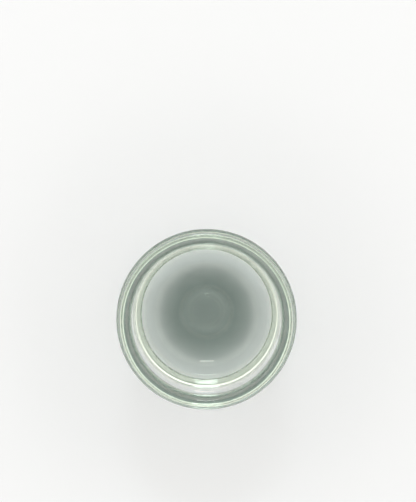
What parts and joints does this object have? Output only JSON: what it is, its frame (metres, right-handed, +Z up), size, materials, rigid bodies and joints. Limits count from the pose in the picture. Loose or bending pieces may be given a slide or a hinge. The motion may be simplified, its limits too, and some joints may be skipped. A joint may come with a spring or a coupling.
{
  "type": "dappen dish",
  "caption": "Small heavy round dish of clear pressed glass with a rounded lip, a wide open bowl and a thick solid base, for nail liquid or powder.",
  "frame": {"origin": "middle of the foot, on the surface that the dish stands on", "axes": "+Z up along the dish's axis of symmetry, out of the mouth; +X and +Y are any two directions square to it, because the dish is round"},
  "size_m": [0.05, 0.05, 0.0365],
  "materials": {
    "clear_glass": "fire-polished pressed soda-lime glass with a faint green tint in its thick parts"
  },
  "bodies": {
    "root": {"glass_dish": "clear_glass"}
  },
  "joints": []
}
